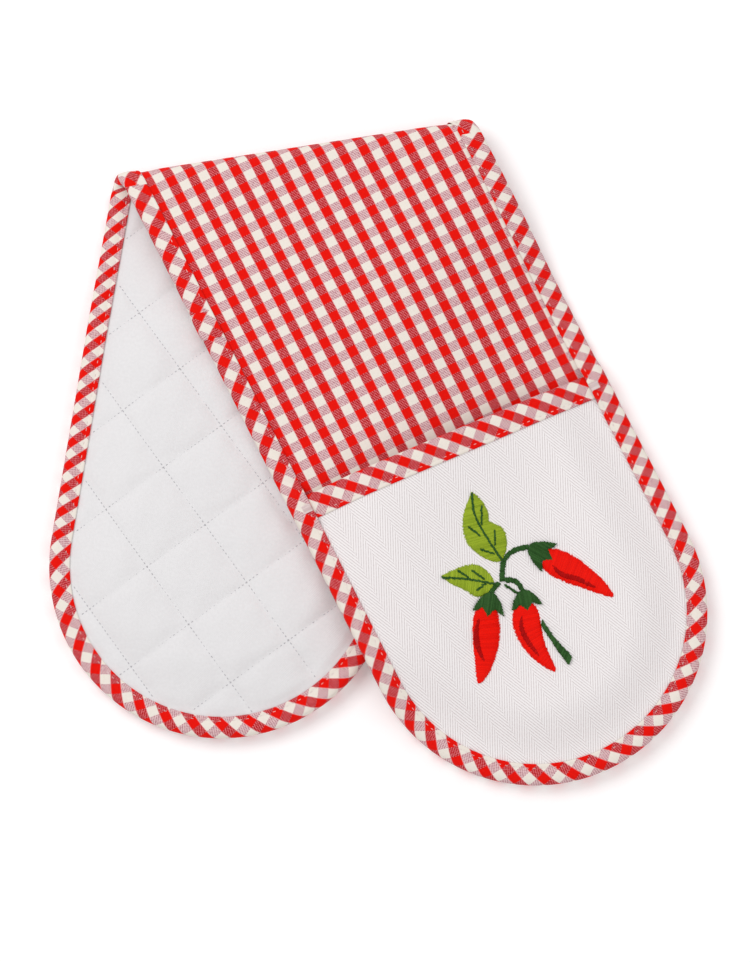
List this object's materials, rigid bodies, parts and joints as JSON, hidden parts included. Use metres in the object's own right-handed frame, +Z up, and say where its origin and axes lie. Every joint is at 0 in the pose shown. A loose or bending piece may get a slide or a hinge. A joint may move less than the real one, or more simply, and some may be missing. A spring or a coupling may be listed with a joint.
{
  "type": "double oven glove",
  "caption": "Double oven glove: a long quilted gingham strip folded over at a slant, with a bound hand pocket at each round end, one embroidered with chilies.",
  "frame": {"origin": "on the table, under the middle of the folded glove's box", "axes": "+Z up from the table; the fold line runs along X at the +Y end and both round ends lie towards -Y; -X is the side of the lower half"},
  "size_m": [0.336, 0.3528, 0.0403],
  "materials": {
    "gingham": "woven cotton, red and cream checks",
    "bias_gingham": "woven cotton, red and cream checks cut on the bias",
    "lining_cotton": "matt white cotton, quilted",
    "wadding": "matt white felted wadding",
    "twill": "white herringbone twill",
    "chili_thread": "satin embroidery thread",
    "leaf_thread": "satin embroidery thread",
    "stem_thread": "satin embroidery thread",
    "white_thread": "cotton sewing thread"
  },
  "bodies": {
    "lower_pocket": {"lower_pocket_face": "twill", "lower_pocket_wadding": "wadding", "lower_pocket_lining": "lining_cotton", "lower_mouth_binding": "bias_gingham"},
    "lower_half": {"lower_outer_panel": "gingham", "lower_wadding": "wadding", "lower_quilted_lining": "lining_cotton", "lower_edge_binding": "bias_gingham", "lower_pocket_seam": "twill"},
    "upper_half": {"upper_outer_panel": "gingham", "upper_wadding": "wadding", "upper_quilted_lining": "lining_cotton", "upper_edge_binding": "bias_gingham", "upper_pocket_seam": "twill", "binding_join": "bias_gingham", "bar_tack_left": "white_thread", "bar_tack_right": "white_thread"},
    "upper_pocket": {"upper_pocket_face": "twill", "upper_pocket_wadding": "wadding", "upper_pocket_lining": "lining_cotton", "upper_mouth_binding": "bias_gingham", "leaf_upper": "leaf_thread", "leaf_side": "leaf_thread", "chili_left": "chili_thread", "chili_middle": "chili_thread", "chili_right": "chili_thread", "calyx_left": "stem_thread", "calyx_middle": "stem_thread", "calyx_right": "stem_thread", "stem_right": "stem_thread", "stem_middle": "stem_thread", "stem_left": "stem_thread", "stem_main": "stem_thread"}
  },
  "joints": [
    {"name": "lower_pocket_opening", "type": "hinge", "parent": "lower_pocket", "child": "lower_half", "pos_m": [-0.1063, -0.12251, 0], "axis": [0.9511, -0.309, 0], "range_deg": [0, 12]},
    {"name": "fold", "type": "hinge", "parent": "lower_half", "child": "upper_half", "pos_m": [-0.00803, 0.17639, 0.0106], "axis": [-1, 0, 0], "range_deg": [0, 175]},
    {"name": "upper_pocket_opening", "type": "hinge", "parent": "upper_half", "child": "upper_pocket", "pos_m": [0.1063, -0.17196, 0.0087], "axis": [0.9511, 0.309, 0], "range_deg": [0, 12]}
  ]
}
